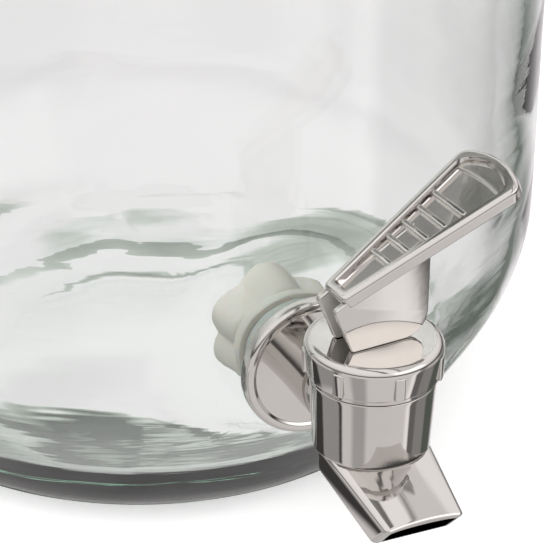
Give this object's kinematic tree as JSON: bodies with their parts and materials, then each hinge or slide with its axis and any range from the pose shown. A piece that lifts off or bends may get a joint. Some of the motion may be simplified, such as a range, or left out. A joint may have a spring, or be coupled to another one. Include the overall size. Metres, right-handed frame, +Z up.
{
  "type": "glass beverage dispenser",
  "caption": "Clear glass jar with a thick rounded heel, a screw lid and a chromed lever tap with a duck-bill spout near its foot, for serving cold drinks.",
  "frame": {"origin": "centre of the jar's base on the table", "axes": "+Z up along the jar's axis, -Y out through the tap, +X to the right seen from the tap's side"},
  "size_m": [0.2, 0.2602, 0.3056],
  "materials": {
    "jar_glass": "clear soda-lime glass with a faint green tint",
    "lid_metal": "satin tinned steel",
    "silicone": "pale translucent silicone",
    "chrome": "mirror chrome plate",
    "nut_plastic": "off-white moulded plastic",
    "steel": "drawn steel"
  },
  "bodies": {
    "jar": {"glass_jar": "jar_glass", "tap_body": "chrome", "wall_flange": "chrome", "outer_seal": "silicone", "inner_seal": "silicone", "lobed_nut": "nut_plastic", "bonnet": "chrome", "bonnet_seal": "silicone", "stem_seal": "silicone", "return_spring": "steel"},
    "seat_plug": {"seat_plug": "silicone"},
    "stem": {"valve_stem": "steel", "pivot_pin": "steel"},
    "lever": {"lever": "chrome"},
    "lid_seal": {"lid_disc": "lid_metal", "lid_gasket": "silicone"},
    "lid_band": {"lid_band": "lid_metal"}
  },
  "joints": [
    {"name": "valve_lift", "type": "slide", "parent": "jar", "child": "seat_plug", "axis": [0, 0, 1], "range_m": [0, 0.00218], "stiffness_N_per_m": 4000, "springref_m": -0.0035, "deforming": ["return_spring"]},
    {"name": "lever_swivel", "type": "hinge", "parent": "seat_plug", "child": "stem", "pos_m": [0, -0.1337, 0.0822], "axis": [0, 0, 1], "range_deg": [-190, 15]},
    {"name": "lever_tilt", "type": "hinge", "parent": "stem", "child": "lever", "pos_m": [0, -0.1337, 0.0878], "axis": [-0.0872, 0.9962, 0], "range_deg": [0, 25.2], "stiffness_Nm_per_rad": 0.004, "springref_deg": -14.32},
    {"name": "lid_rise", "type": "slide", "parent": "jar", "child": "lid_seal", "axis": [0, 0, 1], "range_m": [0, 0.0125]},
    {"name": "band_turn", "type": "hinge", "parent": "lid_seal", "child": "lid_band", "pos_m": [0, 0, 0.3], "axis": [0, 0, 1], "range_deg": [0, 720]}
  ],
  "couplings": [
    {"joint": "lever_tilt", "follows": "valve_lift", "rad_per_m": 200},
    {"joint": "lid_rise", "follows": "band_turn", "m_per_rad": 0.00095493}
  ]
}
